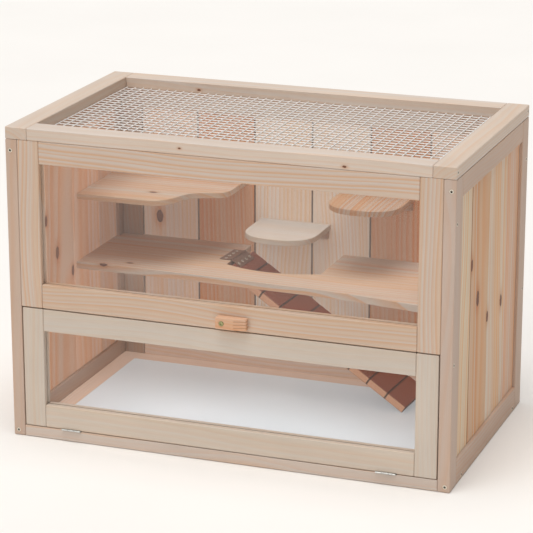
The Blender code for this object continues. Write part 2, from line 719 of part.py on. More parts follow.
def make_platforms():
    """D-shaped platforms on the back wall, each on a cleat."""
    back_y = DEPTH - WALL - GAP
    bow = 46.0
    steps = 18
    power = 2 / 2.5
    for name, (centre_x, top) in PLATFORMS.items():
        half = PLATFORM_WIDE / 2
        bow_y = DEPTH - WALL - PLATFORM_DEEP + bow
        points = [(centre_x - half, back_y)]
        for index in range(steps + 1):
            angle = math.pi * index / steps
            across = math.copysign(abs(math.cos(angle)) ** power, math.cos(angle))
            points.append((centre_x - half * across, bow_y - bow * math.sin(angle) ** power))
        points.append((centre_x + half, back_y))
        outline(name, points, top - BOARD, top, "fir_shelf", BOARD_CHAMFER)
        cleat_z = top - BOARD - GAP
        box(name + "_cleat", (centre_x - half + 2, centre_x + half - 2), (back_y - CLEAT[0], back_y),
            (cleat_z - CLEAT[1], cleat_z), "fir_shelf", BOARD_CHAMFER)


# ---------------------------------------------------------------- ramp

def make_ramp():
    """Grooved board hung on a butt hinge; local Y runs down the ramp, local Z out of its top."""
    into_ramp = (Matrix.Rotation(RAMP_YAW, 4, "Z") @ Matrix.Rotation(RAMP_SLOPE, 4, "Y")
                 @ Matrix.Rotation(math.radians(-90), 4, "Z"))
    pin = place(*RAMP_PIN)
    pivot = add_pivot("ramp_pivot", pin, into_ramp)
    frame = Matrix.Translation(pin) @ into_ramp
    half = RAMP_WIDE / 2
    points = [(-half, RAMP_START), (half, RAMP_START), (half, RAMP_LENGTH), (-half, RAMP_LENGTH)]
    board = outline("ramp_board", points, RAMP_TOP - RAMP_THICK, RAMP_TOP, "ramp_wood", BOARD_CHAMFER, False)
    board.matrix_world = frame
    for index in range(RAMP_GROOVES):
        down = RAMP_LENGTH - RAMP_GROOVE_PITCH * (index + 1)
        groove = ramp_groove(f"ramp_groove_{index}", down, half)
        groove.matrix_world = frame @ groove.matrix_world
        cut(board, groove)
    half_thick = RAMP_LEAF["thick"] / 2
    moving = hinge_leaf("ramp_hinge_moving_leaf", RAMP_LEAF, (-half_thick, half_thick), False, frame)
    carry([board, moving], pivot)
    level = Matrix.Translation(pin) @ Matrix.Rotation(RAMP_YAW + math.radians(90), 4, "Z")
    low = MID_SHELF_Z + GAP - RAMP_PIN.z
    hinge_leaf("ramp_hinge_fixed_leaf", RAMP_LEAF, (low, low + RAMP_LEAF["thick"]), True, level)


def ramp_groove(name, down, half):
    """Cutter of one foothold groove across the ramp."""
    wide = 2.0
    deep = 1.2
    points = [(-half - 1, down), (half + 1, down), (half + 1, down + wide), (-half - 1, down + wide)]
    return outline(name, points, RAMP_TOP - deep, RAMP_TOP + 1, None, to_model=False)


make_posts()
make_sides()
make_back()
make_base()
make_front_rail()
make_window()
make_door()
make_latch()
make_lid()
make_mid_shelf()
make_upper_shelf()
make_platforms()
make_ramp()
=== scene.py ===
"""Looks of the two-storey hamster cage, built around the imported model.

Frame: metres, +X right, -Y to the front, +Z up. spot() takes millimetres from the
carcass's front left bottom corner: x to the right, y to the back, z up.
"""

import json
import math
import random

import bmesh
import bpy
from mathutils import Matrix, Vector


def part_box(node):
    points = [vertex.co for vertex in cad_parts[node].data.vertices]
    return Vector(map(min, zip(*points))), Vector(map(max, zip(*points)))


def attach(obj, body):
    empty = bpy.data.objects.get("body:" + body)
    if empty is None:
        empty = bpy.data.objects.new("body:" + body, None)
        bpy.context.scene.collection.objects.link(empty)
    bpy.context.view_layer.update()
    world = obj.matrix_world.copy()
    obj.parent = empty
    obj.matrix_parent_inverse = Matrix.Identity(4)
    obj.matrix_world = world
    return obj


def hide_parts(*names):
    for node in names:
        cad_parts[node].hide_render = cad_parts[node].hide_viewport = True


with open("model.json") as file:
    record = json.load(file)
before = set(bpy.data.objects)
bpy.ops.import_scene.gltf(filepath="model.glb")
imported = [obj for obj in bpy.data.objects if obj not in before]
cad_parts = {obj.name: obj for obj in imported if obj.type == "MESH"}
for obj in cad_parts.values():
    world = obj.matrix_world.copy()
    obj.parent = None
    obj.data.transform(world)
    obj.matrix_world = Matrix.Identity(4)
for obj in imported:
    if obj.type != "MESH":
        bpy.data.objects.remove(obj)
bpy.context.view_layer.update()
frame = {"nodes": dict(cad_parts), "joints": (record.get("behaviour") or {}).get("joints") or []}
NODES = frame["nodes"]
JOINTS = {joint["name"]: joint for joint in frame["joints"]}

MM = 0.001
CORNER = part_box("post_front_left")[0]
WIDTH = (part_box("post_front_right")[1].x - CORNER.x) / MM
DEPTH = (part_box("post_back_left")[1].y - CORNER.y) / MM
LID_BOTTOM = (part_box("lid_rail_front")[0].z - CORNER.z) / MM
LID_TOP = (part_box("lid_rail_front")[1].z - CORNER.z) / MM
AXES = {"X": Vector((1, 0, 0)), "Y": Vector((0, 1, 0)), "Z": Vector((0, 0, 1))}

# Lengths are in millimetres.
WALL = 12.0            # from the carcass's outer face to the inner face of a board wall
TONGUE = 2.6           # tongue of a back board, past its right edge
SIDE_JOINTS_Y = (90.0, 175.0, 260.0)      # joints in the side panels, from the front
RAMP_SLOPE = math.radians(32.85)
RAMP_LONG = 308.0
RAMP_GROOVE_PITCH = 31.4

# Pieces that the inner fill light reaches: the lower storey's, and the boards that line both storeys.
INSIDE = ("floor_board", "base_rail_left", "base_rail_back", "base_rail_right", "side_left_panel",
          "ramp_board", "back_board_1", "back_board_2", "back_board_3", "back_board_4", "back_board_5",
          "back_board_6", "back_bottom_rail")

# Wire mesh of the lid.
MESH_PITCH = 12.2
WIRE_RADIUS = 0.8
MESH_MARGIN = 9.4      # how far the mesh runs under the lid's rails
LID_RAIL_WIDE = 30.0
LONG_WIRE_Z = 0.7      # middle of the long wires above the lid's underside
STAPLE_PITCH = 61.0
STAPLE_INSET = 25.5    # from the lid's outer edge
STAPLE_HALF = 5.0
STAPLE_THIN = 0.3      # half the staple wire's width
STAPLE_LEG = 5.0

# Screws: a head is (radius, how far it stands proud).
CARCASS_HEAD = (2.9, 0.0)
LID_HINGE_HEAD = (2.3, 0.7)
RAMP_HINGE_HEAD = (2.0, 0.5)
PLATFORM_HEAD = (2.0, 0.3)
SUNK = 0.1                           # carcass screws below the wood's face
POST_FACE_SCREWS = (6.5, (7.0, 389.0))        # in from the side, heights
POST_SIDE_SCREWS = (7.0, (166.5, 347.0))      # in from the front or back, heights
SIDE_RAIL_SCREWS = (5.0, (54.0, 309.0))       # height, places from the front
LID_SCREW_IN = 6.0                   # from the lid's front or back edge
LID_LEAF_SCREWS = (12.0, 9.0)        # from the leaf's middle, from the pin
LID_LEAF_FACE = 1.3                  # outer face of a lid hinge leaf, behind the carcass
RAMP_LEAF_SCREWS = (-18, -6, 6, 18)  # across, from the leaf's middle
RAMP_SCREWS_UP = 10                  # from the pin, on the shelf's leaf
RAMP_SCREWS_DOWN = 11                # from the pin, on the ramp's leaf
SHELF_LEAF_FACE = -0.1               # top of the shelf's leaf, from the pin
RAMP_LEAF_FACE = 0.4                 # top of the ramp's leaf, from the pin
PLATFORM_SCREWS = (14.0, 4.0, 0.2)   # in from the side, in from the back, down


def spot(x, y, z):
    return CORNER + Vector((x, y, z)) * MM


def srgb(red, green, blue):
    """Linear colour of a screen colour given as 0 to 255."""
    linear = []
    for value in (red, green, blue):
        part = value / 255
        linear.append(part / 12.92 if part <= 0.04045 else ((part + 0.055) / 1.055) ** 2.4)
    return (*linear, 1.0)


# ---------------------------------------------------------------- node trees

class Graph:
    """Short calls that add nodes to a tree. A value is a number, a colour, a vector or a socket."""

    def __init__(self, tree):
        self.tree = tree

    def plug(self, socket, value):
        if isinstance(value, bpy.types.NodeSocket):
            self.tree.links.new(value, socket)
        else:
            socket.default_value = value

    def add(self, kind, values=None, **settings):
        node = self.tree.nodes.new(kind)
        for name, setting in settings.items():
            setattr(node, name, setting)
        for key, value in (values or {}).items():
            self.plug(node.inputs[key], value)
        return node

    def math(self, operation, *values):
        return self.add("ShaderNodeMath", dict(enumerate(values)), operation=operation).outputs[0]

    def vector(self, operation, *values):
        node = self.add("ShaderNodeVectorMath", operation=operation)
        for index, value in enumerate(values):
            self.plug(node.inputs["Scale" if operation == "SCALE" and index else index], value)
        scalar = operation in ("LENGTH", "DOT_PRODUCT")
        return node.outputs["Value" if scalar else "Vector"]

    def mix(self, factor, first, second, blend="MIX"):
        node = self.add("ShaderNodeMix", data_type="RGBA", blend_type=blend)
        for index, value in ((0, factor), (6, first), (7, second)):
            self.plug(node.inputs[index], value)
        return node.outputs[2]

    def spread(self, value, low, high, to_low=0.0, to_high=1.0, kind="LINEAR"):
        values = {0: value, 1: low, 2: high, 3: to_low, 4: to_high}
        return self.add("ShaderNodeMapRange", values, interpolation_type=kind).outputs[0]

    def noise(self, vector, scale, detail=2.0, roughness=0.5, colour=False):
        values = {"Vector": vector, "Scale": scale, "Detail": detail, "Roughness": roughness}
        return self.add("ShaderNodeTexNoise", values).outputs["Color" if colour else "Fac"]

    def ramp(self, factor, stops, interpolation="LINEAR"):
        node = self.add("ShaderNodeValToRGB", {0: factor})
        node.color_ramp.interpolation = interpolation
        elements = node.color_ramp.elements
        while len(elements) < len(stops):
            elements.new(1.0)
        for element, (position, colour) in zip(elements, stops):
            element.position = position
            element.color = colour
        return node.outputs[0]

    def bump(self, height, strength, distance):
        values = {"Height": height, "Strength": strength, "Distance": distance}
        return self.add("ShaderNodeBump", values).outputs[0]


def new_material(name):
    """A material, its graph and its shader."""
    material = bpy.data.materials.new(name)
    material.use_nodes = True
    graph = Graph(material.node_tree)
    return material, graph, material.node_tree.nodes["Principled BSDF"]


def object_place(graph):
    return graph.add("ShaderNodeTexCoord").outputs["Object"]


# ---------------------------------------------------------------- timber

def new_group(name, inputs, outputs):
    tree = bpy.data.node_groups.new(name, "ShaderNodeTree")
    for socket, kind in inputs:
        tree.interface.new_socket(name=socket, in_out="INPUT", socket_type="NodeSocket" + kind)
    for socket, kind in outputs:
        tree.interface.new_socket(name=socket, in_out="OUTPUT", socket_type="NodeSocket" + kind)
    graph = Graph(tree)
    source = graph.add("NodeGroupInput").outputs
    sink = graph.add("NodeGroupOutput")
    return tree, graph, source, sink


def make_timber_group():
    """Sawn softwood. Place is in millimetres with z along the grain; the pith runs along z."""
    inputs = [("Place", "Vector"), ("Pith", "Vector"), ("Ring", "Float"), ("Bend", "Float"),
              ("Seed", "Float"), ("End", "Float"), ("Contrast", "Float"),
              ("Pale", "Color"), ("Band", "Color"), ("Late", "Color")]
    outputs = [("Colour", "Color"), ("Roughness", "Float"), ("Height", "Float")]
    tree, graph, source, sink = new_group("Timber", inputs, outputs)
    place = source["Place"]
    shift = graph.vector("SCALE", (1.7, 2.9, 0.8), graph.math("MULTIPLY", source["Seed"], 31.0))
    moved = graph.vector("ADD", place, shift)

    def stretched(across, along, detail=2.0, roughness=0.5, colour=False):
        scaled = graph.vector("MULTIPLY", moved, (1 / across, 1 / across, 1 / along))
        return graph.noise(scaled, 1.0, detail, roughness, colour)

    def centred(colour, amount):
        return graph.vector("SCALE", graph.vector("SUBTRACT", colour, (0.5, 0.5, 0.5)), amount)

    wander = centred(stretched(220, 380, 1.0, colour=True), 34.0)
    ripple = centred(stretched(38, 150, 2.0, colour=True), 4.0)
    line = graph.vector("SUBTRACT", graph.vector("ADD", graph.vector("ADD", place, wander), ripple),
                        source["Pith"])
    radius = graph.vector("LENGTH", graph.vector("MULTIPLY", line, (1, 1, 0)))
    radius = graph.math("ADD", radius, source["Bend"])

    # Rings: each darkens slowly to its late wood and then drops back.
    rings = graph.math("DIVIDE", radius, source["Ring"])
    uneven = graph.math("MULTIPLY", graph.noise(graph.vector("SCALE", (1, 1, 1), radius), 0.05, 2.0), 2.2)
    turn = graph.math("FRACT", graph.math("ADD", rings, uneven))
    rise = graph.spread(turn, 0.15, 0.85, 0.0, 1.0, "SMOOTHSTEP")
    late = graph.math("MULTIPLY", rise, graph.spread(turn, 0.86, 1.0, 1.0, 0.0, "SMOOTHSTEP"))
    age = graph.add("ShaderNodeCombineXYZ", {0: graph.math("MULTIPLY", radius, 0.075),
                                             2: source["Seed"]}).outputs[0]
    good_years = graph.spread(graph.noise(age, 1.0, 2.0), 0.38, 0.62, 0.45, 1.0, "SMOOTHSTEP")
    late = graph.math("MULTIPLY", late, good_years)

    # Broad bands of colour that follow the rings, as heartwood has.
    across_rings = graph.add("ShaderNodeCombineXYZ", {0: graph.math("MULTIPLY", radius, 0.055),
                                                      1: source["Seed"]}).outputs[0]
    band = graph.spread(graph.noise(across_rings, 1.0, 3.0, 0.62), 0.40, 0.62, 0.0, 1.0, "SMOOTHSTEP")
    fibre = stretched(0.55, 24.0, 3.0, 0.6)
    streak = graph.spread(stretched(1.6, 90.0, 2.0), 0.55, 0.75, 0.0, 1.0, "SMOOTHSTEP")
    blotch = stretched(60.0, 170.0, 2.0)

    colour = graph.mix(graph.math("MULTIPLY", band, source["Contrast"]), source["Pale"], source["Band"])
    ring_depth = graph.math("MULTIPLY", late, graph.spread(source["Contrast"], 0.0, 1.0, 0.15, 1.0))
    colour = graph.mix(ring_depth, colour, source["Late"])
    colour = graph.mix(graph.math("MULTIPLY", streak, 0.22), colour, source["Late"])
    shade = graph.math("ADD", graph.spread(fibre, 0.3, 0.7, 0.955, 1.035),
                       graph.spread(blotch, 0.3, 0.7, -0.04, 0.04))
    tone = graph.add("ShaderNodeCombineXYZ", {0: shade, 1: shade, 2: shade}).outputs[0]
    colour = graph.mix(1.0, colour, tone, "MULTIPLY")
    ends = graph.mix(1.0, colour, (0.93, 0.90, 0.87, 1.0), "MULTIPLY")
    colour = graph.mix(source["End"], colour, ends)

    height = graph.math("ADD", graph.math("MULTIPLY", late, 0.6), graph.math("MULTIPLY", fibre, 0.8))
    graph.plug(sink.inputs["Colour"], colour)
    graph.plug(sink.inputs["Roughness"], graph.spread(fibre, 0.3, 0.7, 0.56, 0.68))
    graph.plug(sink.inputs["Height"], height)
    return tree


def make_knot_group():
    """One knot, a spheroid in the wood: its colours, and how it bends the rings around it."""
    inputs = [("Place", "Vector"), ("Centre", "Vector"), ("Flat", "Vector"), ("Radius", "Float"),
              ("Colour", "Color"), ("Bend", "Float")]
    outputs = [("Colour", "Color"), ("Bend", "Float")]
    tree, graph, source, sink = new_group("Knot", inputs, outputs)
    away = graph.vector("MULTIPLY", graph.vector("SUBTRACT", source["Place"], source["Centre"]),
                        source["Flat"])
    wobble = graph.math("MULTIPLY", graph.noise(source["Place"], 0.35, 2.0), 0.6)
    distance = graph.math("DIVIDE", graph.vector("LENGTH", away), source["Radius"])
    ragged = graph.math("ADD", distance, graph.math("SUBTRACT", wobble, 0.3))
    halo = graph.spread(distance, 0.0, 4.2, 1.0, 0.0, "SMOOTHERSTEP")
    core = graph.spread(ragged, 0.80, 1.05, 1.0, 0.0, "SMOOTHSTEP")
    rim = graph.math("MULTIPLY", graph.spread(ragged, 0.62, 0.95, 0.0, 1.0, "SMOOTHSTEP"), core)
    rings = graph.math("FRACT", graph.math("MULTIPLY", ragged, 4.0))
    heart = graph.mix(graph.math("MULTIPLY", rings, 0.5), srgb(134, 86, 64), srgb(62, 32, 24))
    heart = graph.mix(rim, heart, srgb(36, 19, 14))
    stain = graph.mix(1.0, source["Colour"], srgb(236, 200, 172), "MULTIPLY")
    near = graph.math("MULTIPLY", graph.math("POWER", halo, 2.0), 0.8)
    colour = graph.mix(near, source["Colour"], stain)
    graph.plug(sink.inputs["Colour"], graph.mix(core, colour, heart))
    push = graph.math("MULTIPLY", graph.math("MULTIPLY", halo, source["Radius"]), 1.6)
    graph.plug(sink.inputs["Bend"], graph.math("ADD", source["Bend"], push))
    return tree


TIMBER = make_timber_group()
KNOT = make_knot_group()


def wood(red, green, blue, rich):
    """Early wood, heart band and late wood: the late wood keeps its red and loses blue, so it is peach."""
    tones = []
    for scale in ((-0.015, 0.025, 0.06), (0.0, -0.04, -0.10), (0.0, -0.12, -0.24)):
        tones.append(srgb(*[part * (1 + rich * step) for part, step in zip((red, green, blue), scale)]))
    return tones


PALETTES = {
    "rim": wood(218, 201, 187, 0.5),
    "post": wood(203, 178, 161, 0.6),
    "flank": wood(204, 178, 160, 0.6),
    "streaked": wood(212, 192, 177, 0.85),
    "door": wood(212, 197, 182, 0.4),
    "pink": wood(208, 182, 164, 0.9),
    "orange": wood(190, 145, 114, 1.5),
    "grey": wood(208, 190, 175, 1.0),
    "panel": wood(227, 209, 193, 1.35),
    "shelf": wood(219, 195, 175, 1.1),
    "pale": wood(213, 203, 193, 0.6),
    "slab": wood(206, 176, 152, 1.5),
    "ramp": wood(113, 58, 38, 0.8),
    "latch": wood(222, 180, 150, 0.8),
}


class Board:
    """A piece of timber: its middle, and its axes across, through its thickness and along the grain."""

    def __init__(self, name, axes=None):
        low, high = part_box(name)
        size = high - low
        self.middle = (low + high) / 2
        self.half = sorted(size)[1] / 2 / MM
        self.half_length = sorted(size)[2] / 2 / MM
        if axes is None:
            order = sorted("XYZ", key=lambda letter: size["XYZ".index(letter)])
            axes = (AXES[order[1]], AXES[order[0]], AXES[order[2]])
        self.axes = axes

    def local(self, point):
        """A row-frame point in the board's own millimetres."""
        return Vector([(point - self.middle).dot(axis) / MM for axis in self.axes])


def timber(name, board, palette, pith, ring, contrast, knots=(), tints=None, marks=None):
    """Timber material for one board.

    pith is (across, through) in millimetres from the board's middle; knots are (point, radius).
    tints are (y position, tint colour) of the glued strips of a panel, from the front.
    marks is a function that adds to the colour the board's own marks, and painted shade on some boards.
    """
    material, graph, shader = new_material(name)
    offset = graph.vector("SUBTRACT", object_place(graph), board.middle)
    parts = {}
    for index, axis in enumerate(board.axes):
        parts[index] = graph.math("DIVIDE", graph.vector("DOT_PRODUCT", offset, axis), MM)
    place = graph.add("ShaderNodeCombineXYZ", parts).outputs[0]
    normal = graph.add("ShaderNodeTexCoord").outputs["Normal"]
    facing = graph.math("ABSOLUTE", graph.vector("DOT_PRODUCT", normal, board.axes[2]))
    end = graph.spread(facing, 0.75, 0.95)
    seed = random.Random(name).uniform(0.0, 9.0)
    centre = Vector((*pith, 0))
    tint = None
    if tints:
        index, tint = strip_tint(graph, tints)
        seed = graph.math("ADD", graph.math("MULTIPLY", index, 1.37), seed)
        chance = graph.add("ShaderNodeTexWhiteNoise", {"W": seed}, noise_dimensions="1D").outputs["Color"]
        scatter = graph.vector("MULTIPLY", graph.vector("SUBTRACT", chance, (0.5, 0.5, 0.5)), (150, 40, 0))
        centre = graph.vector("ADD", scatter, centre)
    bend = 0.0
    flat = Vector((1.0, 1.0, 0.55))
    pale, band, late = PALETTES[palette]
    base = {"Place": place, "Pith": centre, "Ring": ring, "Seed": seed, "End": end, "Contrast": contrast,
            "Pale": pale, "Band": band, "Late": late}
    chain = []
    for point, radius in knots:
        values = {"Place": place, "Centre": board.local(point), "Flat": flat, "Radius": radius, "Bend": bend}
        knot = graph.add("ShaderNodeGroup", node_tree=KNOT)
        for key, value in values.items():
            graph.plug(knot.inputs[key], value)
        bend = knot.outputs["Bend"]
        chain.append(knot)
    sawn = graph.add("ShaderNodeGroup", node_tree=TIMBER)
    for key, value in {**base, "Bend": bend}.items():
        graph.plug(sawn.inputs[key], value)
    colour = sawn.outputs["Colour"]
    if tint is not None:
        colour = graph.mix(1.0, colour, tint, "MULTIPLY")
    for knot in chain:
        graph.plug(knot.inputs["Colour"], colour)
        colour = knot.outputs["Colour"]
    if marks:
        colour = marks(graph, board, parts, colour)
    graph.plug(shader.inputs["Base Color"], colour)
    graph.plug(shader.inputs["Roughness"], sawn.outputs["Roughness"])
    graph.plug(shader.inputs["Normal"], graph.bump(sawn.outputs["Height"], 0.35, 0.00012))
    shader.inputs["Specular IOR Level"].default_value = 0.35
    return material


def strip_tint(graph, tints):
    """The strip's number, counted from the front, and its tint."""
    y = graph.add("ShaderNodeSeparateXYZ", {0: object_place(graph)}).outputs["Y"]
    index = 0.0
    for joint, _ in tints[1:]:
        index = graph.math("ADD", index, graph.math("GREATER_THAN", y, spot(0, joint, 0).y))
    count = len(tints)
    stops = [((number - 0.5) / count if number else 0.0, colour) for number, (_, colour) in enumerate(tints)]
    return index, graph.ramp(graph.math("DIVIDE", index, count), stops, "CONSTANT")


def line_at(graph, value, middle, half):
    """1 on a line across the board, 0 away from it."""
    away = graph.math("ABSOLUTE", graph.math("SUBTRACT", value, middle))
    return graph.spread(away, half * 0.7, half * 1.3, 1.0, 0.0)


def dark_edges(graph, board, parts, colour):
    """Dirt and shade in the joints between the boards of the back."""
    left = graph.spread(parts[0], 0.6 - board.half, 1.5 - board.half, 0.85, 0.0)
    edge = board.half - TONGUE
    right = graph.spread(parts[0], edge - 1.5, edge - 0.6, 0.0, 0.85)
    return graph.mix(graph.math("MAXIMUM", left, right), colour, srgb(66, 46, 36))


def glue_line(graph, board, parts, colour):
    """The dark heart line beside the first strip of the right panel."""
    line = line_at(graph, parts[0], board.local(spot(0, SIDE_JOINTS_Y[0], 0)).x, 1.5)
    return graph.mix(graph.math("MULTIPLY", line, 0.8), colour, srgb(150, 88, 52))


def ramp_sides_and_groove_shade(graph, board, parts, colour):
    """Paler sawn sides, and dark lines of painted shade for the foothold grooves."""
    normal = graph.add("ShaderNodeTexCoord").outputs["Normal"]
    side = graph.math("ABSOLUTE", graph.vector("DOT_PRODUCT", normal, board.axes[0]))
    colour = graph.mix(graph.spread(side, 0.6, 0.9, 0.0, 0.75), colour, srgb(214, 164, 130))
    steps = graph.math("DIVIDE", graph.math("SUBTRACT", parts[2], board.half_length + 1.0), RAMP_GROOVE_PITCH)
    phase = graph.math("FRACT", graph.math("ADD", steps, 0.5))
    groove_shade = line_at(graph, graph.math("MULTIPLY", phase, RAMP_GROOVE_PITCH), RAMP_GROOVE_PITCH / 2, 1.3)
    # Painted shade: the foothold grooves are darkened in the colour.
    return graph.mix(graph.math("MULTIPLY", groove_shade, 0.85), colour, srgb(30, 18, 14))


def latch_groove_shade(graph, board, parts, colour):
    """Painted shade of the finger grooves in the thin end of the turn button, in colour only."""
    thin_end = graph.math("GREATER_THAN", parts[2], 4.5)
    finger_groove_shade = 0.0
    for middle in (-4.2, 0.0, 4.2):
        finger_groove_shade = graph.math("MAXIMUM", finger_groove_shade, line_at(graph, parts[0], middle, 0.55))
    # Painted shade: dark lines in the colour where the grooves would be.
    return graph.mix(graph.math("MULTIPLY", graph.math("MULTIPLY", finger_groove_shade, thin_end), 0.5), colour,
                     srgb(150, 92, 60))


def ramp_axes():
    """The ramp's axes: across, out of its top, down its length."""
    across = -Vector(JOINTS["ramp_hinge"]["axis"]).normalized()
    level = Vector((-across.y, across.x, 0))
    down = level * math.cos(RAMP_SLOPE) - AXES["Z"] * math.sin(RAMP_SLOPE)
    return across, across.cross(down), down


def dress(name, material):
    """Give a CAD node its material."""
    for slot in NODES[name].material_slots:
        slot.link = "OBJECT"
        slot.material = material


def knots_at(*knots):
    return [(spot(x, y, z), radius) for x, y, z, radius in knots]


# Each timber piece's look: palette, pith (across, through) in mm, ring width, contrast, knots.
LOOKS = {
    "post_front_left": ("post", (-70, 24), 5.0, 0.5, ()),
    "post_front_right": ("post", (64, -30), 4.6, 0.5, ()),
    "post_back_left": ("post", (60, 26), 5.0, 0.55, ()),
    "post_back_right": ("post", (-70, -18), 4.6, 0.6, ()),
    "side_left_top_rail": ("flank", (-80, 30), 5.0, 0.5, ()),
    "side_left_bottom_rail": ("flank", (84, 20), 5.0, 0.5, ()),
    "side_right_top_rail": ("flank", (-80, 30), 5.0, 0.5, ()),
    "side_right_bottom_rail": ("flank", (84, 26), 5.4, 0.6, ()),
    "back_stile_left": ("streaked", (-90, 12), 5.4, 0.6, ()),
    "back_stile_right": ("post", (84, 20), 5.0, 0.5, ()),
    "back_top_rail": ("rim", (-60, 30), 5.6, 0.6, ()),
    "back_bottom_rail": ("post", (76, 26), 6.0, 0.6, ()),
    "base_rail_left": ("post", (70, -20), 5.6, 0.6, ()),
    "base_rail_right": ("post", (-66, -26), 5.6, 0.6, ()),
    "base_rail_front": ("post", (74, -22), 5.6, 0.6, ()),
    "base_rail_back": ("post", (-60, -30), 5.8, 0.8, ()),
    "front_bottom_rail": ("streaked", (56, 34), 5.2, 0.6, ()),
    "window_stile_left": ("streaked", (-96, 14), 5.2, 1.0, ()),
    "window_stile_right": ("streaked", (104, 16), 5.0, 1.0, ()),
    "window_bottom_rail": ("streaked", (-110, 34), 5.4, 1.0, ()),
    "window_top_rail": ("streaked", (120, 36), 5.6, 1.0, ()),
    "door_stile_left": ("door", (-82, 18), 5.4, 0.5, ()),
    "door_stile_right": ("door", (78, 30), 5.2, 0.5, ()),
    "door_bottom_rail": ("door", (60, 50), 7.0, 0.6, ()),
    "door_top_rail": ("door", (-64, 54), 6.8, 0.6, ()),
    "lid_rail_left": ("rim", (-24, -46), 5.6, 0.6, ()),
    "lid_rail_right": ("rim", (30, -38), 5.8, 0.7, ()),
    "lid_rail_front": ("rim", (-20, -60), 6.0, 0.7, knots_at((458, 0, 408, 1.5), (241, 0, 412, 1.1))),
    "lid_rail_back": ("rim", (26, -54), 5.8, 0.7, knots_at((140, 320, 410, 1.5))),
    "back_board_1": ("pink", (-90, 40), 5.4, 0.7, knots_at((71.5, DEPTH - WALL, 218, 5.4))),
    "back_board_2": ("orange", (-102, 26), 6.0, 0.9, ()),
    "back_board_3": ("grey", (90, 42), 5.2, 0.7, ()),
    "back_board_4": ("grey", (-110, 30), 5.0, 0.7, ()),
    "back_board_5": ("orange", (96, 34), 6.4, 0.8, ()),
    "back_board_6": ("pink", (-94, 36), 6.0, 0.8, ()),
    "mid_shelf": ("shelf", (90, -70), 8.0, 0.9, knots_at((52, 182, 189, 3.2), (84, 200, 189, 2.6))),
    "upper_shelf": ("shelf", (-80, -60), 8.0, 0.9, knots_at((108, 228, 284.5, 3.0))),
    "centre_platform": ("pale", (-90, -42), 6.0, 0.6, ()),
    "centre_platform_cleat": ("post", (20, 30), 4.6, 0.5, ()),
    "right_platform": ("slab", (96, -30), 6.4, 1.0, ()),
    "right_platform_cleat": ("post", (-20, 30), 4.6, 0.5, ()),
    "latch_block": ("latch", (34, 22), 4.0, 0.9, ()),
}

# Tints of the glued strips of each side panel, from the front.
SIDE_TINTS = {
    "side_left_panel": (srgb(255, 248, 238), srgb(240, 222, 208), srgb(250, 232, 220), srgb(232, 218, 210)),
    "side_right_panel": (srgb(255, 255, 244), srgb(242, 222, 202), srgb(252, 242, 230), srgb(248, 228, 216)),
}
SIDE_KNOTS = {
    "side_left_panel": knots_at((WALL, 89, 271, 4.4), (WALL, 122, 218, 5.0), (WALL, 170, 180, 4.2)),
    "side_right_panel": knots_at((WIDTH - 4, 126, 217, 6.2), (WIDTH - 4, 243, 179, 5.0),
                                 (WIDTH - 4, 175, 178, 4.4), (WIDTH - 4, 94, 270, 4.6)),
}

MARKS = {"back_board_": dark_edges, "latch_block": latch_groove_shade}
# Pieces whose grain runs across them: axes across, through and along the grain.
GRAIN = {"right_platform": (AXES["X"], AXES["Z"], AXES["Y"])}


def make_timber():
    for name, (palette, pith, ring, contrast, knots) in LOOKS.items():
        marks = MARKS.get(name.rstrip("123456"))
        board = Board(name, GRAIN.get(name))
        dress(name, timber("timber_" + name, board, palette, pith, ring, contrast, knots, marks=marks))
    for name, colours in SIDE_TINTS.items():
        tints = list(zip((0.0, *SIDE_JOINTS_Y), colours))
        palette, marks = ("pink", None) if "left" in name else ("panel", glue_line)
        dress(name, timber("timber_" + name, Board(name), palette, (0, 110), 8.0, 0.9, SIDE_KNOTS[name],
                           tints, marks))
    board = Board("ramp_board", ramp_axes())
    board.half_length = RAMP_LONG / 2
    dress("ramp_board", timber("timber_ramp", board, "ramp", (60, -40), 5.6, 0.8, marks=ramp_sides_and_groove_shade))


# ---------------------------------------------------------------- other materials

def metal(name, colour, roughness, metallic=1.0):
    material, graph, shader = new_material(name)
    speckle = graph.noise(object_place(graph), 900.0, 3.0, 0.6)
    dull = graph.mix(graph.spread(speckle, 0.35, 0.7), colour, [part * 0.78 for part in colour[:3]] + [1.0])
    graph.plug(shader.inputs["Base Color"], dull)
    graph.plug(shader.inputs["Roughness"], graph.spread(speckle, 0.3, 0.7, roughness, roughness + 0.14))
    graph.plug(shader.inputs["Normal"], graph.bump(speckle, 0.15, 0.00005))
    shader.inputs["Metallic"].default_value = metallic
    return material


def laminate():
    material, graph, shader = new_material("white_laminate")
    place = object_place(graph)
    cloud = graph.noise(place, 6.0, 3.0)
    peel = graph.noise(place, 1400.0, 2.0)
    white = graph.mix(graph.spread(cloud, 0.3, 0.7), srgb(207, 214, 219), srgb(202, 210, 215))
    graph.plug(shader.inputs["Base Color"], white)
    graph.plug(shader.inputs["Roughness"], graph.spread(cloud, 0.3, 0.7, 0.42, 0.52))
    graph.plug(shader.inputs["Normal"], graph.bump(peel, 0.2, 0.00004))
    return material


def acrylic(name, alpha):
    material, graph, shader = new_material(name)
    smear = graph.noise(object_place(graph), 14.0, 3.0, 0.6)
    graph.plug(shader.inputs["Roughness"], graph.spread(smear, 0.35, 0.7, 0.03, 0.10))
    shader.inputs["Base Color"].default_value = srgb(240, 240, 238)
    shader.inputs["Alpha"].default_value = alpha
    shader.inputs["IOR"].default_value = 1.49
    return material


WIRE = metal("zinc_wire", srgb(250, 248, 245), 0.45, metallic=0.10)
PLATE = metal("zinc_plate", srgb(214, 214, 210), 0.34)
BRONZE = metal("bronzed_plate", srgb(150, 116, 98), 0.42, metallic=0.3)
SCREW = metal("screw_steel", srgb(252, 244, 226), 0.42, metallic=0.15)
# The cross recess of a screw head is painted dark: painted shade in the hollow of the head.
RECESS_SHADE = metal("screw_recess_shade", srgb(52, 46, 42), 0.60, metallic=0.5)
BRASS = metal("brassed_screw", srgb(178, 176, 128), 0.30)


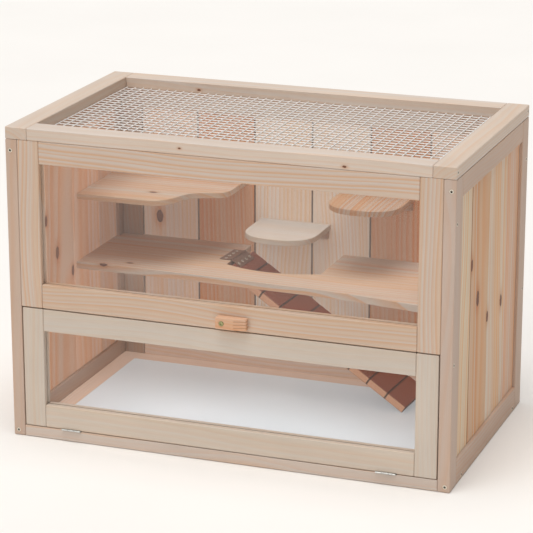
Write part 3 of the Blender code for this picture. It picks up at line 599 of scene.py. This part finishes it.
def dress_fittings():
    dress("floor_board", laminate())
    dress("window_pane", acrylic("window_acrylic", 0.05))
    dress("door_pane", acrylic("door_acrylic", 0.03))
    for name in NODES:
        if "hinge" in name:
            dress(name, BRONZE if name.startswith("ramp") else PLATE)


# ---------------------------------------------------------------- new pieces

def finish_piece(name, shape, material, body):
    """Turn a bmesh in row-frame metres into a piece that rides on a body."""
    mesh = bpy.data.meshes.new(name)
    bmesh.ops.recalc_face_normals(shape, faces=shape.faces)
    shape.to_mesh(mesh)
    shape.free()
    # The second material is the painted shade of the screw recesses.
    for part in (material, RECESS_SHADE):
        mesh.materials.append(part)
    piece = bpy.data.objects.new(name, mesh)
    bpy.context.scene.collection.objects.link(piece)
    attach(piece, body)
    return piece


def add_bar(shape, start, end, radius, sides=8):
    """A round bar between two row-frame points; the radius is in millimetres."""
    along = end - start
    turn = along.to_track_quat("Z", "Y").to_matrix().to_4x4()
    bmesh.ops.create_cone(shape, cap_ends=True, segments=sides, radius1=radius * MM, radius2=radius * MM,
                          depth=along.length, matrix=Matrix.Translation((start + end) / 2) @ turn)


def add_block(shape, low, high):
    """A block between two points in carcass millimetres."""
    low = spot(*low)
    high = spot(*high)
    matrix = Matrix.Translation((low + high) / 2) @ Matrix.Diagonal((*(high - low), 1))
    bmesh.ops.create_cube(shape, size=1.0, matrix=matrix)


def make_wire_mesh():
    """Welded square mesh: long wires under, cross wires over, half sunk into each other."""
    shape = bmesh.new()
    low_x = low_y = LID_RAIL_WIDE - MESH_MARGIN
    high_x = WIDTH - low_x
    high_y = DEPTH - low_y
    under = LID_BOTTOM + LONG_WIRE_Z
    over = under + 1.5 * WIRE_RADIUS
    rows = round((high_y - low_y) / MESH_PITCH)
    for row in range(rows + 1):
        y = low_y + (high_y - low_y) * row / rows
        add_bar(shape, spot(low_x, y, under), spot(high_x, y, under), WIRE_RADIUS)
    columns = round((high_x - low_x) / MESH_PITCH)
    for column in range(columns + 1):
        x = low_x + (high_x - low_x) * column / columns
        add_bar(shape, spot(x, low_y, over), spot(x, high_y, over), WIRE_RADIUS)
    mesh = finish_piece("wire_mesh", shape, WIRE, "lid")
    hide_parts("lid_mesh")


def make_staples():
    """Staples that hold the wire mesh up in the lid's rebate."""
    shape = bmesh.new()
    inset = STAPLE_INSET
    half = STAPLE_HALF
    low = LID_BOTTOM - 0.1
    across = round((WIDTH - 2 * inset) / STAPLE_PITCH)
    for index in range(across):
        x = inset + (WIDTH - 2 * inset) * (index + 0.5) / across
        for y in (inset, DEPTH - inset):
            add_staple(shape, (x - half, y), (x + half, y), low)
    along = round((DEPTH - 2 * inset) / STAPLE_PITCH)
    for index in range(along):
        y = inset + (DEPTH - 2 * inset) * (index + 0.5) / along
        for x in (inset, WIDTH - inset):
            add_staple(shape, (x, y - half), (x, y + half), low)
    finish_piece("lid_staples", shape, WIRE, "lid")


def add_staple(shape, start, end, low):
    """Flat crown between two plan points, with its two legs driven up into the wood."""
    thin = STAPLE_THIN
    top = low + 0.5
    add_block(shape, (start[0] - thin, start[1] - thin, low), (end[0] + thin, end[1] + thin, top))
    for x, y in (start, end):
        add_block(shape, (x - thin, y - thin, low + 0.1), (x + thin, y + thin, low + STAPLE_LEG))


def add_screw(shape, point, out, radius, top, chance):
    """Screw head with a cross recess, its top that far out of the row-frame point it stands on."""
    turn = out.to_track_quat("Z", "Y").to_matrix().to_4x4()
    spin = Matrix.Rotation(chance.uniform(0, math.pi), 4, "Z")
    matrix = Matrix.Translation(point) @ turn @ spin @ Matrix.Diagonal((MM, MM, MM, 1))
    sides = 20
    skirt = 0.9
    rounding = 0.35
    recess = radius * 0.85
    rim = [(math.cos(math.tau * n / sides), math.sin(math.tau * n / sides)) for n in range(sides)]
    arm = radius * 0.52
    slim = radius * 0.30
    cross = []
    for quarter in range(4):
        cosine = round(math.cos(math.pi / 2 * quarter))
        sine = round(math.sin(math.pi / 2 * quarter))
        for x, y in ((slim, slim), (arm, slim), (arm, -slim)):
            cross.append((x * cosine + y * sine, y * cosine - x * sine))
    levels = [(radius, -skirt), (radius, top - rounding), (radius * 0.84, top)]
    rings = []
    for size, height in levels:
        rings.append([shape.verts.new(matrix @ Vector((x * size, y * size, height))) for x, y in rim])
    mouth = [shape.verts.new(matrix @ Vector((x, y, top))) for x, y in cross]
    floor = [shape.verts.new(matrix @ Vector((x * 0.8, y * 0.8, top - recess))) for x, y in cross]
    for lower, upper in ((rings[0], rings[1]), (rings[1], rings[2]), (mouth, floor)):
        for index in range(len(lower)):
            after = (index + 1) % len(lower)
            face = shape.faces.new((lower[index], lower[after], upper[after], upper[index]))
            # The recess's walls and floor take the second material, painted shade.
            face.material_index = 1 if lower is mouth else 0
    shape.faces.new(floor).material_index = 1
    edges = []
    for loop in (rings[2], mouth):
        for index in range(len(loop)):
            pair = (loop[index], loop[(index + 1) % len(loop)])
            edges.append(shape.edges.get(pair) or shape.edges.new(pair))
    bmesh.ops.triangle_fill(shape, use_beauty=True, use_dissolve=False, edges=edges)


def make_screws(name, body, seats, head, material):
    """Seats are (row-frame point, outward direction); head is (radius, proud)."""
    shape = bmesh.new()
    chance = random.Random(name)
    for point, out in seats:
        add_screw(shape, point, out, *head, chance)
    finish_piece(name, shape, material, body)


def carcass_seats():
    """Pockets in the posts' faces and in the side bottom rails."""
    face_in, face_heights = POST_FACE_SCREWS
    side_in, side_heights = POST_SIDE_SCREWS
    rail_z, rail_places = SIDE_RAIL_SCREWS
    seats = []
    for x, out_x in ((0.0, -AXES["X"]), (WIDTH, AXES["X"])):
        for y, out_y in ((0.0, -AXES["Y"]), (DEPTH, AXES["Y"])):
            seats += [(spot(abs(x - face_in), y, z), out_y) for z in face_heights]
            seats += [(spot(x, abs(y - side_in), z), out_x) for z in side_heights]
        seats += [(spot(x, y, rail_z), out_x) for y in rail_places]
    return seats


def lid_seats():
    """Two screws in each end of the lid's frame."""
    middle = (LID_BOTTOM + LID_TOP) / 2
    seats = []
    for x, out in ((0.0, -AXES["X"]), (WIDTH, AXES["X"])):
        seats += [(spot(x, y, middle), out) for y in (LID_SCREW_IN, DEPTH - LID_SCREW_IN)]
    return seats


def sunk(seats):
    return [(point - out * SUNK * MM, out) for point, out in seats]


def lid_hinge_seats(side, moving):
    """Two screws on one plate of a lid hinge."""
    name = f"lid_hinge_{side}_{'moving' if moving else 'fixed'}_leaf"
    low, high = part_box(name)
    apart, from_pin = [length * MM for length in LID_LEAF_SCREWS]
    z = JOINTS["lid_hinge"]["pos_m"][2] + (from_pin if moving else -from_pin)
    face_y = spot(0, DEPTH + LID_LEAF_FACE, 0).y
    middle = (low.x + high.x) / 2
    return [(Vector((middle + step, face_y, z)), AXES["Y"]) for step in (-apart, apart)]


def ramp_hinge_seats():
    """The screws of the leaf on the shelf, and of the leaf on the ramp."""
    across, up, down = ramp_axes()
    pin = Vector(JOINTS["ramp_hinge"]["pos_m"])
    level = Vector((-across.y, across.x, 0))
    on_shelf = []
    on_ramp = []
    for step in RAMP_LEAF_SCREWS:
        beside = pin + across * step * MM
        shelf_point = beside - level * RAMP_SCREWS_UP * MM + AXES["Z"] * SHELF_LEAF_FACE * MM
        ramp_point = beside + down * RAMP_SCREWS_DOWN * MM + up * RAMP_LEAF_FACE * MM
        on_shelf.append((shelf_point, AXES["Z"]))
        on_ramp.append((ramp_point, up))
    return on_shelf, on_ramp


def platform_seats():
    """Two screws near the back edge of each platform."""
    side, back, down = [length * MM for length in PLATFORM_SCREWS]
    seats = []
    for name in ("centre_platform", "right_platform"):
        low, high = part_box(name)
        for x in (low.x + side, high.x - side):
            seats.append((Vector((x, high.y - back, high.z - down)), AXES["Z"]))
    return seats


def make_latch_screw():
    """The turn button's screw with its cross recess, in place of the plain one."""
    low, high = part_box("latch_screw")
    middle = (low + high) / 2
    face = Vector((middle.x, low.y, middle.z))
    tip = Vector((middle.x, high.y, middle.z))
    shape = bmesh.new()
    add_screw(shape, face, -AXES["Y"], (high.x - low.x) / 2 / MM, 0.0, random.Random("latch"))
    add_bar(shape, face + AXES["Y"] * 0.8 * MM, tip, 1.6, 12)
    screw = finish_piece("cross_screw", shape, BRASS, "cage")
    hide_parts("latch_screw")


def make_all_screws():
    make_screws("carcass_screws", "cage", sunk(carcass_seats()), CARCASS_HEAD, SCREW)
    make_screws("lid_frame_screws", "lid", sunk(lid_seats()), CARCASS_HEAD, SCREW)
    for moving, body in ((False, "cage"), (True, "lid")):
        seats = lid_hinge_seats("left", moving) + lid_hinge_seats("right", moving)
        make_screws("lid_hinge_screws_" + body, body, seats, LID_HINGE_HEAD, PLATE)
    on_shelf, on_ramp = ramp_hinge_seats()
    make_screws("ramp_hinge_screws_cage", "cage", on_shelf, RAMP_HINGE_HEAD, SCREW)
    make_screws("ramp_hinge_screws_ramp", "ramp", on_ramp, RAMP_HINGE_HEAD, SCREW)
    make_screws("platform_screws", "cage", platform_seats(), PLATFORM_HEAD, SCREW)
    make_latch_screw()


# ---------------------------------------------------------------- stage, light and camera

def sun(name, source, strength, spread, colour=(1.0, 1.0, 1.0)):
    """A very soft, even light from far away; source is the direction that it comes from."""
    light = bpy.data.lights.new(name, "SUN")
    light.energy = strength
    light.angle = math.radians(spread)
    light.color = colour
    item = bpy.data.objects.new(name, light)
    item.rotation_euler = Vector(source).to_track_quat("Z", "Y").to_euler()
    item.location = Vector(source) * 2
    bpy.context.scene.collection.objects.link(item)
    return item


def make_stage():
    shape = bmesh.new()
    bmesh.ops.create_circle(shape, cap_ends=True, segments=96, radius=14.0)
    mesh = bpy.data.meshes.new("studio_floor")
    shape.to_mesh(mesh)
    shape.free()
    material, graph, shader = new_material("floor_paper")
    grain = graph.noise(object_place(graph), 3.0, 2.0)
    white = graph.mix(graph.spread(grain, 0.3, 0.7), srgb(244, 241, 237), srgb(246, 243, 239))
    graph.plug(shader.inputs["Base Color"], white)
    shader.inputs["Roughness"].default_value = 0.9
    shader.inputs["Specular IOR Level"].default_value = 0.1
    mesh.materials.append(material)
    floor = bpy.data.objects.new("studio_floor", mesh)
    floor.location.z = -0.0005
    bpy.context.scene.collection.objects.link(floor)


def make_light():
    world = bpy.data.worlds.new("Studio")
    world.use_nodes = True
    sky = world.node_tree.nodes["Background"]
    sky.inputs["Color"].default_value = (1.0, 0.985, 0.965, 1.0)
    sky.inputs["Strength"].default_value = 0.28
    bpy.context.scene.world = world
    sun("key", (-0.35, -0.75, 0.62), strength=0.70, spread=50.0, colour=(1.0, 0.985, 0.965))
    sun("overhead", (0.0, -0.10, 1.0), strength=2.15, spread=45.0)
    light_inside()


def light_inside():
    """A fill that lights only the INSIDE pieces; nothing but the floor can shade them from it."""
    inside = bpy.data.collections.new("inside")
    for name in INSIDE:
        inside.objects.link(NODES[name])
    blockers = bpy.data.collections.new("blockers")
    blockers.objects.link(bpy.data.objects["studio_floor"])
    fill = sun("fill", (0.50, -0.50, 0.78), strength=2.3, spread=60.0)
    fill.light_linking.receiver_collection = inside
    fill.light_linking.blocker_collection = blockers


def make_camera():
    azimuth = math.radians(20.18)
    elevation = math.radians(17.04)
    camera = bpy.data.cameras.new("camera")
    camera.lens = 162.2
    camera.sensor_width = 36.0
    camera.clip_end = 50.0
    item = bpy.data.objects.new("camera", camera)
    item.location = (1.0452, -2.8602, 1.1484)
    look = Vector((-math.sin(azimuth) * math.cos(elevation), math.cos(azimuth) * math.cos(elevation),
                   -math.sin(elevation)))
    item.rotation_euler = look.to_track_quat("-Z", "Y").to_euler()
    bpy.context.scene.collection.objects.link(item)
    bpy.context.scene.camera = item
    bpy.context.scene.view_settings.view_transform = "Standard"


def smooth_curved_nodes():
    """Round the shading of the pieces with curved edges; their vertices stay where they are."""
    for name, node in NODES.items():
        curved = ("shelf" in name or "platform" in name or "hinge" in name) and "cleat" not in name
        if curved:
            weld = node.modifiers.new("Weld", "WELD")
            weld.merge_threshold = 0.00001
            split = node.modifiers.new("Split", "EDGE_SPLIT")
            split.split_angle = math.radians(28)
            for face in node.data.polygons:
                face.use_smooth = True


make_timber()
dress_fittings()
make_wire_mesh()
make_staples()
make_all_screws()
smooth_curved_nodes()
make_stage()
make_light()
make_camera()
